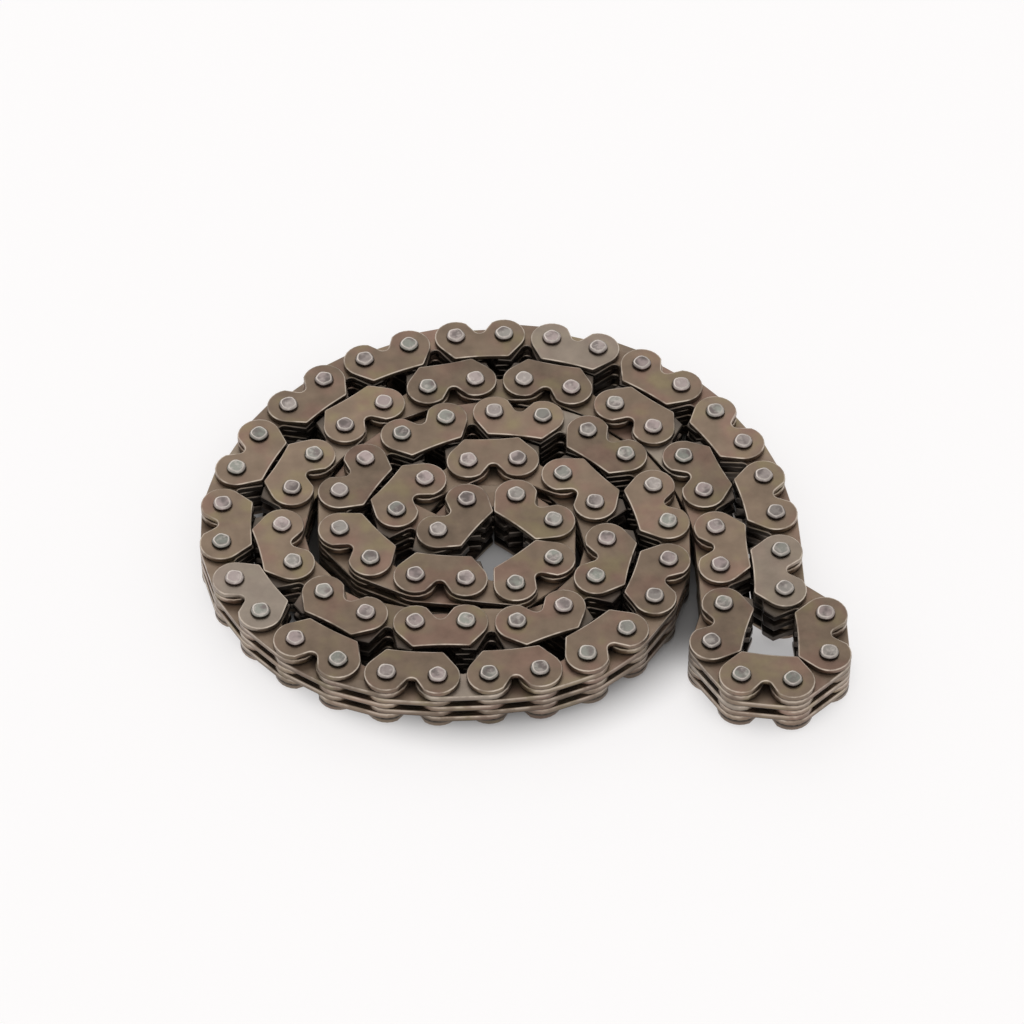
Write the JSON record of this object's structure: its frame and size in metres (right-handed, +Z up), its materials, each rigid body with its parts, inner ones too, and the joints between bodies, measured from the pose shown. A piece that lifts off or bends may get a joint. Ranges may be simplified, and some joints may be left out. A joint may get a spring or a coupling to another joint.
{
  "type": "motorcycle timing chain",
  "caption": "Endless silent (inverted-tooth) timing chain of a motorcycle engine, lying on its side in a loose coil with its outer end folded back.",
  "frame": {"origin": "middle of the coiled chain, on the surface that it lies on", "axes": "+Z up along the pins, +X towards the folded end of the coil, +Y away from the viewer"},
  "size_m": [0.0818, 0.0642, 0.0076],
  "materials": {
    "plate_steel": "satin",
    "pin_steel": "satin"
  },
  "bodies": {
    "coil": {"first_strand_guides_1": "plate_steel", "first_strand_guides_7": "plate_steel", "first_strand_inner_plates_2": "plate_steel", "first_strand_inner_plates_4": "plate_steel", "first_strand_inner_plates_6": "plate_steel", "first_strand_middle_plates_3": "plate_steel", "first_strand_middle_plates_5": "plate_steel", "first_strand_pins": "pin_steel", "second_strand_guides_1": "plate_steel", "second_strand_guides_7": "plate_steel", "second_strand_inner_plates_2": "plate_steel", "second_strand_inner_plates_4": "plate_steel", "second_strand_inner_plates_6": "plate_steel", "second_strand_middle_plates_3": "plate_steel", "second_strand_middle_plates_5": "plate_steel", "second_strand_pins": "pin_steel"},
    "tail_out_1": {"tail_out_1_inner_plates": "plate_steel"},
    "tail_out_2": {"tail_out_2_guides": "plate_steel", "tail_out_2_middle_plates": "plate_steel", "tail_out_2_pins": "pin_steel"},
    "tail_out_3": {"tail_out_3_inner_plates": "plate_steel"},
    "tail_out_4": {"tail_out_4_guides": "plate_steel", "tail_out_4_middle_plates": "plate_steel", "tail_out_4_pins": "pin_steel"},
    "tail_back_1": {"tail_back_1_guides": "plate_steel", "tail_back_1_middle_plates": "plate_steel", "tail_back_1_pins": "pin_steel"},
    "tail_back_2": {"tail_back_2_inner_plates": "plate_steel"},
    "tail_back_3": {"tail_back_3_guides": "plate_steel", "tail_back_3_middle_plates": "plate_steel", "tail_back_3_pins": "pin_steel"},
    "tail_back_4": {"tail_back_4_inner_plates": "plate_steel"},
    "outer_fold": {"outer_fold_1_inner_plates": "plate_steel", "outer_fold_2_guides": "plate_steel", "outer_fold_2_middle_plates": "plate_steel", "outer_fold_2_pins": "pin_steel", "outer_fold_3_inner_plates": "plate_steel", "outer_fold_4_guides": "plate_steel", "outer_fold_4_middle_plates": "plate_steel", "outer_fold_4_pins": "pin_steel", "outer_fold_5_inner_plates": "plate_steel", "outer_fold_6_guides": "plate_steel", "outer_fold_6_middle_plates": "plate_steel", "outer_fold_6_pins": "pin_steel"}
  },
  "joints": [
    {"name": "tail_out_1_turn", "type": "hinge", "parent": "coil", "child": "tail_out_1", "pos_m": [0.02863, 0.01011, 0.0038], "axis": [0, 0, 1], "range_deg": [0, 8]},
    {"name": "tail_out_2_turn", "type": "hinge", "parent": "tail_out_1", "child": "tail_out_2", "pos_m": [0.03105, 0.00424, 0.0038], "axis": [0, 0, 1], "range_deg": [0, 8]},
    {"name": "tail_out_3_turn", "type": "hinge", "parent": "tail_out_2", "child": "tail_out_3", "pos_m": [0.03239, -0.00197, 0.0038], "axis": [0, 0, 1], "range_deg": [0, 8]},
    {"name": "tail_out_4_turn", "type": "hinge", "parent": "tail_out_3", "child": "tail_out_4", "pos_m": [0.03276, -0.00831, 0.0038], "axis": [0, 0, 1], "range_deg": [0, 8]},
    {"name": "outer_fold_turn", "type": "hinge", "parent": "tail_out_4", "child": "outer_fold", "pos_m": [0.03299, -0.01465, 0.0038], "axis": [0, 0, 1], "range_deg": [-32, 0]},
    {"name": "tail_back_1_turn", "type": "hinge", "parent": "coil", "child": "tail_back_1", "pos_m": [0.02091, 0.00766, 0.0038], "axis": [0, 0, 1], "range_deg": [0, 8]},
    {"name": "tail_back_2_turn", "type": "hinge", "parent": "tail_back_1", "child": "tail_back_2", "pos_m": [0.02333, 0.00179, 0.0038], "axis": [0, 0, 1], "range_deg": [0, 8]},
    {"name": "tail_back_3_turn", "type": "hinge", "parent": "tail_back_2", "child": "tail_back_3", "pos_m": [0.02467, -0.00442, 0.0038], "axis": [0, 0, 1], "range_deg": [0, 8]},
    {"name": "tail_back_4_turn", "type": "hinge", "parent": "tail_back_3", "child": "tail_back_4", "pos_m": [0.02504, -0.01076, 0.0038], "axis": [0, 0, 1], "range_deg": [0, 8]}
  ],
  "couplings": [
    {"joint": "tail_out_2_turn", "follows": "tail_out_1_turn", "ratio": 1},
    {"joint": "tail_out_3_turn", "follows": "tail_out_1_turn", "ratio": 1},
    {"joint": "tail_out_4_turn", "follows": "tail_out_1_turn", "ratio": 1},
    {"joint": "outer_fold_turn", "follows": "tail_out_1_turn", "ratio": -4},
    {"joint": "tail_back_1_turn", "follows": "tail_out_1_turn", "ratio": 1},
    {"joint": "tail_back_2_turn", "follows": "tail_out_1_turn", "ratio": 1},
    {"joint": "tail_back_3_turn", "follows": "tail_out_1_turn", "ratio": 1},
    {"joint": "tail_back_4_turn", "follows": "tail_out_1_turn", "ratio": 1}
  ]
}
